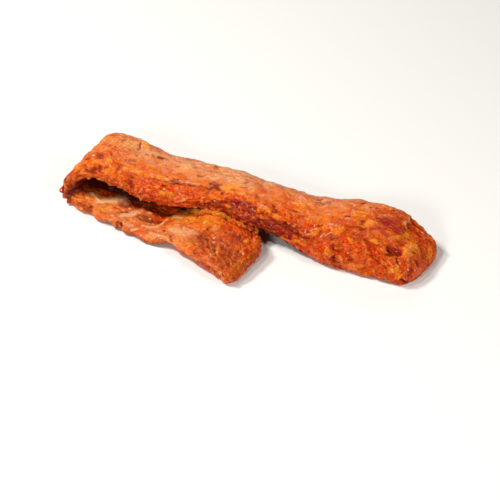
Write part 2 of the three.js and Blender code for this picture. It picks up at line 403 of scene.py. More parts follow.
# Where the painted shade in the crease under the upper run begins on the tail.
SHADE_EDGE = (
    (362, 374, 383, 395, 407, 418, 426, 445, 458, 470, 482),
    (-14, -7, -3, 0, 0, 2, 5, 15, 16, 13, 11),
)

# The marks on the surface, as strokes from one place to another, each place (along the strip, way round
# from the middle of the side that lies upwards): what shows there, from, to, half its width, strength,
# rise.
# Many of the small pale strokes are painted glints.
STROKES = [
    # the left end of the upper run
    ("mauve", (326, 7), (324, 12), 2.3, 0.8, -0.2),
    ("fat", (338, 15), (335, 28), 1.6, 0.9, 0.4),
    ("lean", (331, 26), (335, 36), 2.2, 0.7, -0.3),
    ("pale", (332, 28), (329, 34), 1, 0.5, 0.3),
    ("lean", (334, 12), (333, 14), 1.9, 0.9, -0.6),
    ("lean", (323, 26), (322, 31), 2.6, 1, -0.9),
    ("lean", (319, 22), (317, 27), 1.9, 0.9, -0.7),
    ("lean", (331, 23), (325, 32), 1.2, 0.8, -0.5),
    ("fat", (332, 6), (331, 8), 3, 0.7, 0.6),
    ("pale", (327, 0), (325, -1), 3, 0.6, 0.6),
    ("fat", (317, 12), (315, 15), 3, 0.95, 0.7),
    ("fat", (325, 16), (325, 18), 2.6, 0.5, 0.3),
    ("dark", (320, 2), (317, 6), 1, 0.9, -0.9),
    ("dark", (325, -6), (326, -5), 1.3, 0.7, -0.6),
    ("pink", (320, -1), (308, 5), 1.7, 1, 0.6),
    ("lean", (325, -22), (320, -27), 0.9, 0.7, -0.4),
    ("lean", (321, -17), (318, -21), 0.9, 0.7, -0.4),
    ("pale", (337, -20), (325, -11), 3.4, 0.5, 0.2),
    ("fat", (320, -15), (310, -20), 2.8, 0.7, 0.4),
    ("pink", (318, -5), (309, -6), 3.6, 0.5, 0),
    ("lean", (304, 11), (304, 19), 2.4, 0.7, -0.5),
    ("fat", (314, 25), (308, 23), 3.5, 0.5, 0.4),
    ("pale", (300, 19), (301, 20), 1.3, 0.9, 0.5),
    ("pale", (300, 25), (300, 26), 1.1, 0.8, 0.4),
    ("lean", (311, 33), (303, 32), 4, 0.4, -0.3),
    ("fat", (349, 41), (335, 42), 1.3, 0.9, 0.6),
    ("spice", (345, 24), (353, 42), 7, 0.9, 0),
    ("lean", (345, 24), (353, 42), 7, 0.7, 0),
    ("spice", (355, -30), (370, -38), 6, 1, 0.3),
    ("lean", (355, -30), (370, -38), 6, 0.65, 0),
    ("mauve", (350, 26), (354, 44), 4, 0.8, 0),
    ("lean", (347, 31), (347, 32), 2, 1, 1.6),
    ("lean", (350, 38), (350, 39), 1.8, 1, 1.5),
    ("lean", (354, 33), (354, 34), 1.8, 1, 1.5),
    ("lean", (360, -40), (361, -39), 2, 1, 1.7),
    ("lean", (367, -38), (368, -37), 1.8, 1, 1.5),
    ("dark", (350, 34), (353, 36), 1.2, 0.9, -0.9),
    ("dark", (363, -36), (364, -40), 1.2, 0.9, -0.9),
    ("pink", (326, -1), (308, 3), 8, 0.5, 0),
    ("mauve", (332, 8), (322, 12), 5, 0.5, 0),
    ("pale", (341, 32), (342, 32), 1.3, 0.8, 0.5),
    ("pale", (347, 34), (348, 35), 1.5, 0.8, 0.5),
    ("pale", (351, 36), (352, 36), 1.2, 0.8, 0.5),
    ("pale", (360, -33), (361, -33), 1.6, 0.9, 0.6),
    ("pale", (366, -31), (368, -31), 1.3, 0.9, 0.5),
    # the top of the upper run, from the left
    ("fat", (300, -26), (294, -23), 3.2, 1, 1.3),
    ("lean", (304, -26), (301, -18), 1.2, 0.7, -0.7),
    ("dark", (298, -8), (298, -7), 1.2, 1, -0.9),
    ("dark", (292, -14), (290, -14), 1.1, 0.6, -0.6),
    ("dark", (302, -17), (301, -16), 1.6, 0.4, -0.5),
    ("lean", (279, -16), (277, -16), 2.6, 1, -1),
    ("dark", (278, -16), (277, -16), 1.2, 0.5, -0.4),
    ("lean", (276, -17), (270, -17), 1.2, 0.8, -0.2),
    ("lean", (286, -15), (284, -15), 1.5, 0.6, -0.3),
    ("dark", (298, 6), (292, 6), 0.9, 0.8, -0.5),
    ("mauve", (303, 4), (297, 1), 2.6, 0.7, -0.2),
    ("pale", (286, 0), (273, -6), 3.6, 0.4, 0),
    ("pale", (268, -12), (261, -16), 3, 0.4, 0),
    ("pale", (258, -13), (257, -13), 1.2, 1, 0.5),
    ("dark", (257, -10), (254, -10), 1, 0.7, -0.5),
    ("pale", (250, -9), (243, -9), 4, 0.7, 0.2),
    ("dark", (258, -3), (257, -3), 1, 0.7, -0.4),
    ("pale", (299, 14), (298, 15), 1.8, 0.8, 0.4),
    ("pale", (293, 15), (291, 15), 1.6, 0.9, 0.4),
    ("pale", (284, 11), (283, 11), 1.2, 0.9, 0.4),
    ("pale", (273, 9), (272, 9), 1.3, 0.9, 0.4),
    ("fat", (265, 11), (259, 10), 1.6, 0.9, 0.4),
    ("pale", (256, 3), (255, 3), 1.2, 0.8, 0.3),
    ("spice", (280, 22), (260, 20), 6.5, 1, 0),
    ("spice", (293, 18), (291, 20), 3, 0.7, -0.2),
    ("lean", (289, 20), (283, 32), 2.6, 0.8, -0.6),
    ("lean", (248, 13), (244, 14), 3.5, 1, -0.9),
    ("pale", (243, 12), (242, 12), 1.1, 1, 0.5),
    ("fat", (262, 22), (260, 22), 1.5, 0.8, 0.4),
    ("lean", (257, 20), (253, 20), 1, 0.8, -0.5),
    ("dark", (238, 15), (232, 15), 1, 0.7, -0.6),
    ("dark", (232, 15), (226, 15), 0.9, 0.7, -0.5),
    ("spice", (233, 23), (227, 28), 5, 0.9, 0),
    ("pale", (274, 28), (273, 32), 1, 0.9, 0.6),
    ("pale", (268, 28), (267, 28), 1.1, 0.8, 0.4),
    ("pink", (269, 36), (265, 35), 2.2, 0.9, 1),
    ("lean", (266, 35), (266, 36), 0.9, 0.8, -0.6),
    ("pink", (259, 31), (257, 31), 2.6, 0.6, 0.4),
    ("fat", (255, 29), (246, 28), 3, 0.5, 0.5),
    ("fat", (274, 37), (271, 40), 1.8, 0.7, 1),
    ("pale", (238, 36), (229, 31), 1.3, 1, 0.5),
    ("spice", (235, 39), (227, 37), 2.5, 0.8, 0),
    ("lean", (223, -19), (222, -18), 2, 0.8, 1.3),
    ("lean", (234, -6), (233, -6), 1.8, 0.8, -0.4),
    ("lean", (232, 0), (225, 2), 1.8, 1, -0.7),
    ("pale", (215, 4), (213, 4), 2.8, 1, 0.4),
    ("lean", (212, 12), (206, 13), 4.4, 1, -0.9),
    ("pale", (205, 12), (204, 14), 1.5, 0.9, 0.5),
    ("fat", (199, 13), (192, 6), 4.8, 0.9, 0.5),
    ("fat", (197, 17), (182, 14), 1.6, 1, 0.7),
    ("lean", (193, 6), (185, -1), 0.8, 0.7, -0.4),
    ("lean", (188, 9), (181, 7), 0.8, 0.6, -0.4),
    ("spice", (192, 21), (182, 20), 2.6, 1, -0.4),
    ("mauve", (185, 27), (170, 26), 6, 0.9, -0.7),
    ("dark", (181, 25), (180, 25), 1.5, 0.8, -0.8),
    ("dark", (177, 27), (175, 28), 1.3, 0.8, -0.7),
    ("dark", (171, 30), (166, 31), 1.5, 0.8, -0.8),
    ("lean", (218, 35), (210, 36), 2.6, 0.9, -0.5),
    ("lean", (200, 31), (195, 29), 2.5, 0.9, -0.5),
    ("fat", (233, 8), (227, 6), 1.8, 0.7, 0.2),
    ("pale", (215, 28), (214, 28), 1.1, 1, 0.6),
    ("dark", (217, 28), (218, 28), 1, 0.8, -0.5),
    ("fat", (208, 25), (200, 27), 2.5, 0.8, 0.5),
    ("lean", (201, 19), (200, 20), 1.5, 0.8, -0.5),
    ("pale", (197, 22), (196, 22), 1, 0.9, 0.4),
    ("pale", (191, 32), (189, 32), 1.8, 0.9, 0.7),
    ("pale", (181, 29), (180, 29), 1, 0.8, 0.5),
    ("lean", (193, 41), (187, 42), 3.5, 1, -1.2),
    ("fat", (172, 35), (165, 35), 2.5, 0.9, 0.6),
    ("fat", (173, 44), (171, 45), 2, 0.9, 0.7),
    # the middle of the upper run
    ("pale", (179, -13), (166, -3), 3, 0.5, 0),
    ("fat", (147, -9), (145, -9), 4, 0.45, 0.4),
    ("dark", (169, 13), (168, 14), 2.2, 0.7, -0.6),
    ("pale", (164, 20), (158, 21), 2.4, 0.7, 0.5),
    ("fat", (159, 24), (153, 23), 3.2, 0.6, 0.9),
    ("fat", (150, 25), (142, 25), 2.5, 0.5, 0.6),
    ("lean", (152, 15), (146, 20), 1.5, 0.8, -0.8),
    ("pale", (148, 18), (146, 11), 1, 0.6, 0.4),
    ("lean", (155, 40), (135, 33), 6.5, 1, -0.9),
    ("mauve", (150, 33), (134, 31), 4, 0.8, -0.3),
    ("lean", (134, 32), (119, 33), 5, 0.9, -0.6),
    # Painted shade in the dark hollow under the near side of the upper run, as mauve and dark strokes.
    ("mauve", (156, 42), (128, 39), 5, 1, 0),
    ("dark", (160, 45), (134, 43), 5, 0.9, 0),
    ("lean", (205, 34), (160, 38), 4.5, 0.7, 0),
    ("mauve", (178, 38), (160, 37), 5, 0.8, 0),
    ("pale", (236, -4), (196, 2), 9, 0.5, 0),
    ("fat", (112, 14), (96, 20), 8, 0.4, 0),
    # Painted shade under the lip of the upper run over the tail: a lean stroke, which also draws the lip
    # in, and a dark stroke.
    ("lean", (325, 45), (292, 45), 5, 0.6, -2.6),
    ("dark", (326, 46), (290, 46), 3.5, 0.6, 0),
    ("lean", (116, 37), (102, 38), 4, 0.8, -0.5),
    ("dark", (136, 13), (134, 13), 1.2, 0.8, -0.6),
    ("dark", (132, 13), (130, 13), 1.2, 0.8, -0.6),
    ("dark", (132, 21), (131, 21), 1.1, 0.9, -0.6),
    ("fat", (135, 4), (128, 2), 3, 0.7, 0.4),
    ("pale", (125, -1), (119, -5), 2, 0.7, 0.2),
    ("pale", (133, 27), (131, 27), 1.3, 0.9, 0.6),
    ("pale", (127, 28), (126, 28), 1.1, 0.9, 0.5),
    ("pale", (114, 30), (113, 30), 1.3, 0.9, 0.5),
    ("spice", (109, 22), (107, 22), 2.6, 1, 0),
    ("pale", (111, 32), (104, 30), 1.2, 0.9, 0.7),
    ("pale", (108, 28), (105, 26), 1.2, 0.9, 0.6),
    ("fat", (103, 29), (100, 28), 3.6, 0.6, 0.6),
    ("fat", (121, 42), (111, 40), 3, 0.8, 0.6),
    ("spice", (130, 47), (101, 48), 3.4, 0.7, 0),
    ("pink", (133, 43), (131, 44), 1.4, 0.9, 0.9),
    ("pink", (127, 44), (125, 44), 1.4, 0.9, 0.9),
    ("mauve", (118, -7), (107, -13), 3.6, 0.6, -0.4),
    ("lean", (125, -11), (118, -14), 1.5, 0.5, -0.2),
    ("dark", (81, 5), (78, 4), 1.2, 0.9, -0.8),
    ("dark", (86, 11), (85, 11), 1.1, 0.9, -0.7),
    ("lean", (78, -20), (75, -24), 1.5, 0.9, -0.5),
    ("dark", (67, -17), (66, -17), 1.3, 1, -0.7),
    ("dark", (62, -19), (61, -19), 1.1, 0.9, -0.6),
    ("fat", (78, -1), (64, -6), 1.5, 0.9, 0.5),
    ("fat", (76, 2), (65, -1), 1.2, 0.8, 0.4),
    ("pink", (82, 15), (67, 11), 3, 0.5, -0.3),
    ("lean", (71, 17), (64, 14), 1.6, 0.7, -0.4),
    ("lean", (63, 5), (59, 13), 3.2, 1, -1),
    ("fat", (59, 7), (53, 0), 4.4, 0.85, 0.7),
    ("pale", (88, 22), (85, 25), 1.4, 1, 0.6),
    ("pale", (90, 31), (83, 27), 1.2, 1, 0.7),
    ("pale", (94, 32), (92, 30), 1.6, 0.9, 0.6),
    ("fat", (81, 27), (77, 22), 3.4, 0.7, 0.5),
    ("spice", (92, 37), (88, 37), 3, 1, 0),
    ("lean", (85, 31), (80, 36), 3, 0.7, -0.5),
    ("pale", (82, 38), (83, 38), 1.1, 0.9, 0.4),
    ("dark", (82, 41), (81, 41), 1.4, 0.9, -0.7),
    ("fat", (83, 45), (79, 47), 3.4, 0.9, 1),
    ("lean", (79, 39), (75, 56), 2, 0.6, -1),
    ("fat", (96, 49), (94, 49), 1.8, 0.6, 0.4),
    ("spice", (66, 36), (46, 39), 8, 0.9, 0),
    ("fat", (65, 30), (64, 31), 1.4, 1, 0.5),
    ("fat", (62, 32), (59, 35), 1.5, 1, 0.5),
    ("fat", (57, 32), (56, 32), 1.2, 0.9, 0.4),
    ("pale", (50, 30), (51, 30), 1.6, 0.8, 0.4),
    ("pale", (53, 38), (54, 38), 1.4, 0.7, 0.4),
    ("lean", (60, 49), (58, 49), 1.8, 0.9, -0.7),
    ("lean", (50, 26), (44, 33), 2.5, 0.6, -0.5),
    ("lean", (79, 34), (70, 40), 4, 0.7, -0.6),
    ("fat", (59, 55), (53, 54), 2.5, 0.5, 0.3),
    # the right end
    ("lean", (40, 38), (36, 39), 3.4, 1, -1.3),
    ("pale", (41, 41), (42, 41), 1.1, 1, 0.4),
    ("fat", (46, 24), (44, 24), 2.4, 0.9, 0.5),
    ("fat", (51, -25), (51, -24), 1.2, 0.4, 1.1),
    ("fat", (46, -25), (46, -24), 1.2, 0.4, 1),
    ("pale", (52, -10), (43, -17), 4, 0.4, 0),
    ("lean", (44, -8), (34, -14), 4.6, 0.5, 0),
    ("mauve", (53, 11), (44, 4), 2.1, 1, -0.3),
    ("mauve", (44, 9), (36, 9), 2.4, 1, -0.3),
    ("fat", (48, -5), (44, -5), 1.2, 0.7, 0.3),
    ("pale", (35, -14), (32, -13), 1.7, 1, 0.9),
    ("fat", (38, -5), (36, -5), 1.2, 0.9, 0.4),
    ("pale", (35, -27), (33, -21), 1.6, 0.8, 0.3),
    ("fat", (36, 10), (32, 4), 3, 0.9, 0.5),
    ("fat", (31, 0), (28, -8), 2.4, 0.9, 0.5),
    ("lean", (27, -3), (23, -4), 1.8, 1, -0.6),
    ("fat", (17, 15), (17, 1), 5, 1, 0.8),
    ("pale", (16, 13), (17, 4), 3, 0.6, 0),
    ("pale", (13, 4), (12, 4), 1.5, 0.9, 0.5),
    ("spice", (20, -14), (9, -19), 5, 0.7, 0),
    ("mauve", (31, 22), (24, 18), 5, 1, -1.6),
    ("dark", (30, 22), (25, 20), 3, 0.8, -0.5),
    ("spice", (50, -3), (35, -5), 6, 0.9, 0),
    ("mauve", (50, -3), (35, -5), 6, 0.85, 0),
    ("fat", (29, -10), (13, 5), 8, 0.4, 0),
    ("spice", (112, 44), (15, 38), 8, 0.8, 0),
    ("pink", (54, 8), (36, 10), 6, 0.5, 0),
    ("mauve", (28, 11), (28, 12), 2.2, 0.9, -0.6),
    ("dark", (31, 29), (28, 28), 1.5, 0.9, -0.6),
    ("dark", (22, 25), (17, 28), 1.2, 1, -1),
    ("pale", (17, 27), (16, 27), 1.3, 1, 0.6),
    ("pale", (26, 33), (22, 34), 1.6, 0.9, 0.5),
    ("fat", (18, 31), (16, 31), 1.7, 1, 0.5),
    ("fat", (22, 38), (14, 34), 4, 0.7, 0.3),
    ("pink", (31, 38), (29, 38), 2, 0.7, 0.3),
    ("pink", (11, 19), (1, 15), 7, 0.6, 0),
    ("mauve", (6, 11), (4, 11), 2.2, 1, -0.5),
    ("mauve", (5, 27), (5, 21), 2, 0.8, -0.4),
    ("fat", (2, -8), (6, -18), 2.2, 0.7, 0.3),
    ("pink", (2, 2), (6, -7), 2.2, 0.7, 0),
    ("lean", (31, -29), (13, -28), 1, 0.9, -0.6),
    ("pale", (28, -24), (6, -31), 1, 0.7, 0.5),
    ("lean", (24, -20), (8, -26), 1, 0.7, -0.4),
    ("dark", (8, 37), (6, 38), 2, 1, -1),
    ("pale", (7, 34), (6, 33), 1.2, 0.9, 0.5),
    # the thin stretch of the tail
    ("pale", (368, -14), (384, -8), 3.5, 0.6, 0),
    ("mauve", (366, -20), (374, -12), 3, 0.6, 0),
    ("mauve", (383, -8), (400, -4), 3, 0.55, 0),
    ("fat", (380, -13), (392, -9), 3, 0.7, 0),
    ("lean", (414, -2), (428, 1), 4, 0.9, 0),
    ("fat", (362, -28), (376, -21), 1.2, 1, 0.7),
    ("fat", (368, -30), (381, -24), 1.2, 1, 0.7),
    ("pale", (380, -19), (381, -19), 1.4, 0.9, 0.4),
    ("lean", (378, -31), (393, -33), 3.6, 0.7, 0),
    ("pale", (384, -34), (385, -34), 1.1, 0.9, 0.5),
    ("pale", (378, -28), (379, -28), 1.1, 0.8, 0.5),
    ("lean", (391, -28), (392, -28), 2, 1, -0.6),
    ("lean", (364, -18), (378, -6), 6, 0.6, 0),
    ("pale", (380, -11), (390, -15), 1.5, 0.9, 0.4),
    ("pale", (393, -17), (398, -11), 4, 1, 0.3),
    ("pale", (398, -10), (409, -2), 6, 1, 0.3),
    ("pale", (409, -4), (416, -5), 3.4, 0.9, 0.2),
    ("fat", (402, -20), (413, -13), 2, 0.6, 0),
    ("fat", (401, -28), (412, -20), 5, 0.7, 0.3),
    ("pale", (407, -21), (412, -21), 3, 0.4, 0.3),
    ("lean", (405, -28), (412, -28), 0.9, 0.7, -0.5),
    ("spice", (412, -17), (416, -13), 1.6, 1, 0),
    ("lean", (420, -17), (423, -13), 1.9, 0.9, -0.5),
    ("spice", (405, -33), (418, -29), 2.6, 0.6, 0),
    ("pale", (418, -27), (419, -27), 1.4, 0.9, 0.5),
    ("lean", (428, -31), (430, -36), 1.8, 1, 0.8),
    ("dark", (431, -30), (436, -37), 1.4, 1, -1.8),
    ("pale", (436, -35), (437, -35), 1.1, 1, 0.6),
    ("pale", (425, -21), (436, -8), 5, 1, 0.3),
    ("pale", (433, -28), (442, -28), 2.6, 0.6, 0.2),
    ("lean", (415, -7), (427, 0), 4, 0.7, -0.4),
    ("pale", (422, -7), (423, -7), 1.1, 1, 0.4),
    ("fat", (438, -20), (441, -12), 3.8, 0.5, 0.3),
    ("spice", (434, -7), (444, -8), 3, 0.7, 0),
    ("pale", (443, -4), (444, -4), 1.8, 0.9, 0.5),
    ("lean", (440, 5), (454, 6), 6.5, 0.8, -1.2),
    ("dark", (445, 6), (449, 5), 2, 0.5, -0.6),
    ("lean", (441, -13), (456, -9), 5, 0.9, -1.1),
    ("lean", (455, -6), (457, -6), 2.6, 0.9, 0.9),
    ("dark", (447, -13), (451, -13), 1.5, 0.8, -0.9),
    ("dark", (442, -10), (444, -9), 1.1, 0.7, -0.6),
    ("pale", (448, -9), (449, -9), 1, 0.9, 0.5),
    ("pale", (454, -13), (455, -13), 0.9, 0.9, 0.5),
    ("pale", (451, -23), (464, -18), 1.4, 1, 0.9),
    ("pale", (464, -18), (462, -2), 1.6, 1, 0.7),
    ("pale", (463, -28), (483, -27), 1.5, 0.7, 0.5),
    ("pale", (446, -32), (449, -29), 1.6, 0.9, 0.4),
    ("fat", (457, 3), (470, 2), 2, 0.9, 0.2),
    ("fat", (471, -10), (475, -13), 3, 0.5, 0.2),
    ("pale", (464, 5), (473, 5), 2, 1, 0.3),
    ("fat", (474, -3), (487, 1), 4, 0.7, 0.2),
    ("lean", (473, -20), (474, -20), 1.5, 0.9, -0.4),
    # the thick end of the tail
    ("pale", (488, -10), (489, -10), 1.5, 0.9, 0.4),
    ("dark", (484, -8), (487, -12), 0.9, 0.9, -0.6),
    ("lean", (483, -24), (489, -31), 1.3, 0.7, -0.6),
    ("pale", (478, -17), (480, -17), 2.5, 0.6, 0.2),
    ("pale", (485, -16), (502, -17), 8, 0.5, 0),
    ("fat", (496, -26), (513, -26), 6, 0.5, 0),
    ("lean", (517, -37), (519, -36), 3, 0.9, -0.4),
    ("dark", (517, -32), (518, -32), 1, 0.9, -0.5),
    ("fat", (476, 16), (490, 20), 2.6, 1, 1.5),
    ("fat", (480, 13), (487, 16), 2.5, 1, 0.3),
    ("fat", (490, 20), (508, 22), 4, 1, 1.6),
    ("fat", (502, 13), (514, 17), 2.4, 1, 0.5),
    ("lean", (492, 16), (501, 13), 1, 0.9, -0.8),
    ("lean", (508, 9), (512, 14), 2, 0.7, -0.5),
    ("fat", (509, -4), (504, 4), 3.2, 0.6, 0.9),
    ("dark", (511, -4), (512, -4), 1, 0.8, -0.5),
    ("pale", (515, -1), (516, 6), 2.6, 0.4, 0.4),
    ("pink", (519, -6), (522, -4), 1.8, 0.9, 0.2),
    ("lean", (515, -11), (530, -24), 1.5, 0.9, -0.9),
    ("lean", (527, -16), (542, -25), 1.3, 0.9, -0.9),
    ("lean", (537, -14), (545, -13), 2, 0.8, -0.6),
    ("fat", (535, -14), (544, -27), 1.8, 0.9, 0.9),
    ("fat", (537, -30), (539, -26), 2.3, 1, 1),
    ("mauve", (539, -14), (548, -11), 3.8, 0.7, -0.4),
    ("fat", (544, -7), (545, -7), 1.7, 1, 0.6),
    ("fat", (548, 1), (549, 2), 1.9, 1, 0.6),
    ("fat", (553, -10), (554, -9), 1.9, 1, 0.6),
    ("dark", (552, -1), (553, -1), 1.6, 1, -1.3),
    ("pale", (554, 0), (555, 1), 1, 1, 0.5),
    ("pale", (558, 2), (559, 2), 1.5, 1, 0.6),
    ("fat", (548, 10), (552, 15), 3, 1, 0.9),
    ("pale", (538, 23), (540, 22), 2, 1, 0.8),
    ("lean", (540, 27), (549, 24), 2.6, 1, -1),
    ("pink", (556, 15), (559, 34), 4, 0.5, 0),
    ("pale", (554, 24), (555, 24), 1.6, 1, 0.5),
    ("spice", (558, 7), (565, 22), 5, 0.5, 0),
    ("fat", (561, -20), (564, -5), 1.1, 0.7, 0.6),
    ("pink", (528, -40), (560, -36), 6, 0.8, 0),
    ("pale", (514, -39), (558, -35), 4, 0.45, 0),
    ("pale", (548, -36), (549, -36), 1.2, 0.9, 0.3),
    ("pale", (554, -33), (555, -33), 1.2, 0.9, 0.3),
    ("dark", (557, -33), (558, -33), 1.1, 0.8, -0.5),
    ("spice", (561, -31), (565, -36), 3, 0.8, 0),
    ("spice", (550, -23), (562, -29), 2.4, 0.7, 0),
    ("lean", (559, -11), (566, 18), 5, 0.4, 0),
    ("lean", (512, -14), (523, -27), 3, 0.6, -0.3),
    ("spice", (518, 12), (533, 18), 6, 0.7, 0),
    ("mauve", (535, 4), (546, 8), 4, 0.6, -0.3),
    ("fat", (507, -27), (516, -30), 3.4, 0.6, 0.3),
    ("pink", (521, -4), (534, -6), 3, 0.5, 0),
    ("mauve", (498, -42), (552, -37), 5, 0.5, 0),
    ("pink", (532, -30), (556, -24), 6, 0.5, 0),
    ("mauve", (528, 4), (556, -8), 11, 0.45, 0),
    ("pink", (524, -28), (560, -22), 11, 0.45, 0),
    ("fat", (482, 8), (508, 8), 9, 0.55, 0),
    ("lean", (514, -18), (550, -18), 14, 0.55, 0),
]
STROKE_KINDS = ("fat", "lean", "spice", "pale", "pink", "mauve", "dark")
PALE_ON_MEAT = 0.6  # strength of the pale strokes on the upper run, many of which are painted glints


def along_line(at, line):
    """The second row of a line where its first row is at."""
    return np.interp(at, *line)


def layer_edges(g):
    """Height lost beyond the edges of layers in millimetres, and where the painted highlight of their lit
    rims and the painted shade at their feet lie.
    """
    s, u = g["s"], g["u_meat"]
    still = 0 * s
    ragged = 1.6 * gradient_noise(s / 6, still, still + 4) + 0.9 * gradient_noise(s / 2.6, still, still + 9)
    lost, rim, shaded_foot = still.copy(), still.copy(), still.copy()
    for start, end, line, drop, evens_out in LAYER_EDGES:
        past = u - np.interp(s, np.linspace(start, end, len(line)), line) + ragged
        fade = between(s, start, start + 12, end - 10, end)
        lost = lost + drop * fade * smoothstep(past, -0.4, 0.9) * np.exp(-np.maximum(past, 0) / evens_out)
        lost = lost - 0.35 * drop * fade * bell((past + 2.2) / 1.6)
        rim = np.maximum(rim, fade * bell((past + 1) / 1.1))
        shaded_foot = np.maximum(shaded_foot, fade * bell((past - 1.6) / 1.3))
    ragged = 1.3 * gradient_noise(still, u / 6, still + 14)
    ragged = ragged + 0.8 * gradient_noise(still, u / 2.6, still + 19)
    past = along_line(u, END_CUT) - s + ragged
    fade = between(u, -46, -34, 14, 28) * (1 - 0.85 * smoothstep(u, -16, 0)) * (s < 80)
    lost = lost + END_DROP * fade * smoothstep(past, -0.5, 0.8) * np.exp(-np.maximum(past, 0) / 9)
    rim = np.maximum(rim, fade * bell((past + 1) / 1.2))
    shaded_foot = np.maximum(shaded_foot, fade * bell((past - 1.6) / 1.4))
    return lost, rim, shaded_foot


def stroke_share(s, u, start, end, half_width, ragged):
    """How much of a stroke covers each place, 1 inside it and 0 outside, with a ragged edge."""
    way = np.array(end, float) - start
    length = max(np.hypot(*way), 1e-6)
    c, d = way / length
    ds, du = s - start[0], u - start[1]
    along = ds * c + du * d
    beyond = along - np.clip(along, 0, length)
    reach = np.hypot(beyond, du * c - ds * d) / half_width
    return 1 - smoothstep(reach + ragged * min(1, half_width / 4), 0.45, 1.35)


def patch_fields(g):
    """How much of each kind of surface shows at each place, from noise and from the strokes, and the height
    that the strokes add in millimetres."""
    s, w, h = g["s"], g["w"], g["h"]
    u = np.where(s < FOLD, g["u_meat"], g["u_ribs"])
    still = 0 * s
    fields = {kind: still.copy() for kind in STROKE_KINDS}
    fields["fat"] = 0.3 * smoothstep(gradient_noise(s / 15, u / 6, still + 3.3), 0.15, 0.7)
    fields["lean"] = 0.45 * smoothstep(gradient_noise(s / 13, u / 6, still + 8.1), 0.15, 0.7)
    fields["spice"] = 0.6 * smoothstep(gradient_noise(s / 19, w / 12, h / 12 + 5), -0.1, 0.6)
    fields["pale"] = 0.2 * smoothstep(gradient_noise(s / 9, u / 4, still + 5.7), 0.25, 0.7)
    fields["pink"] = 0.4 * smoothstep(gradient_noise(s / 14, u / 8, still + 15.7), 0.1, 0.6)
    for kind in ("fat", "lean", "pink"):
        fields[kind] = fields[kind] * (0.3 + 0.7 * roughness_of_form(g))
    ragged = 0.5 * gradient_noise(s / 6, w / 4.5, h / 4.5 + 2)
    ragged = ragged + 0.35 * gradient_noise(s / 2.8, w / 2.2, h / 2.8 + 8)
    rise = still.copy()
    for kind, start, end, half_width, strength, height in STROKES:
        margin = 3 * half_width + 2
        low_s, high_s = sorted((start[0], end[0]))
        low_u, high_u = sorted((start[1], end[1]))
        here = (s > low_s - margin) & (s < high_s + margin) & (u > low_u - margin) & (u < high_u + margin)
        share = stroke_share(s[here], u[here], start, end, half_width, ragged[here])
        rise[here] += height * share
        if kind == "pale" and start[0] < FOLD:
            strength = PALE_ON_MEAT * strength
        for other in fields:
            kept = fields[other][here]
            fields[other][here] = kept * (1 - 0.8 * share * strength)
            if other == kind:
                fields[other][here] = kept + (1 - kept) * share * strength
    return fields, rise


def strand_field(g):
    """The strands' height, whose way changes from place to place."""
    s = g["s"]
    total = 0
    for u, weight in ((g["u_meat"], smoothstep(-s, -364, -348)), (g["u_ribs"], smoothstep(s, 348, 364))):
        sway = gradient_noise(s / 55, u / 34, 0 * s + 1)
        left_end = smoothstep(s, 285, 315)
        leans = (
            (4, bell(sway / 0.35)),
            (34, smoothstep(sway, 0.0, 0.4) + 1.5 * left_end),
            (-30, smoothstep(-sway, 0.0, 0.4)),
        )
        share = sum(part for _, part in leans)
        for seed, (lean, part) in enumerate(leans):
            total = total + weight * part / share * strands(s, u, lean, 15, 2.8, 7.3 * seed + 1)
    return total


def spiced(g):
    """How thick the marinade lies: thin on top of the upper run, thick at its near side and right end."""
    s, u = g["s"], g["u_meat"]
    uneven = 0.35 * gradient_noise(s / 18, u / 9, 0 * s + 51)
    uneven = uneven + 0.2 * gradient_noise(s / 6, u / 4, 0 * s + 57)
    upper = smoothstep(u, 8, 26)
    upper = np.maximum(upper * (1 - 0.3 * smoothstep(s, 285, 310)), 0.9 * (1 - smoothstep(s, 30, 75)))
    far_part = smoothstep(g["u_ribs"], -8, 12)
    tail = 0.35 + 0.5 * smoothstep(s, 505, 530) * far_part
    tail = np.maximum(tail, smoothstep(g["u_ribs"], -14, -4) * (1 - smoothstep(s, 465, 480)))
    tail = np.maximum(tail, 0.6 * smoothstep(s, 508, 524))
    return np.clip(np.where(s < FOLD, upper, tail) + uneven, 0, 1)


def golden(g):
    """Where the meat turns paler and more golden: a painted sheen along the far side and the middle of the
    top, and a paler colour on the near part of the tail."""
    s, u = g["s"], g["u_meat"]
    uneven = 0.3 * gradient_noise(s / 16, u / 7, 0 * s + 43)
    far_side = smoothstep(-u, -6, 20) * between(s, 50, 120, 305, 345)
    middle = 0.7 * bell((s - 195) / 40) * bell((u - 3) / 11)
    tail = 0.45 * between(s, 372, 400, 500, 515) * smoothstep(-g["h"], -2, 2)
    tail = tail * (1 - smoothstep(g["u_ribs"], -14, -2))
    there = np.maximum(np.maximum(far_side, middle), tail)
    return np.clip(there + uneven * smoothstep(there, 0, 0.5), 0, 1)


def roughness_of_form(g):
    """How crumbled the surface is: 0.2 on the smooth top of the upper run to 1 at its near side and the
    tail's end."""
    s, u = g["s"], g["u_meat"]
    upper = 0.22 + 0.78 * smoothstep(u, 10, 22)
    upper = np.maximum(upper, 0.8 * smoothstep(s, 285, 310))
    upper = np.maximum(upper, 0.75 * (1 - smoothstep(s, 40, 90)))
    upper = upper * (1 - 0.65 * bell((s - 44) / 11) * bell((u + 1) / 9))
    tail = 0.55 + 0.45 * smoothstep(s, 500, 520)
    return np.where(s < FOLD, upper, tail)


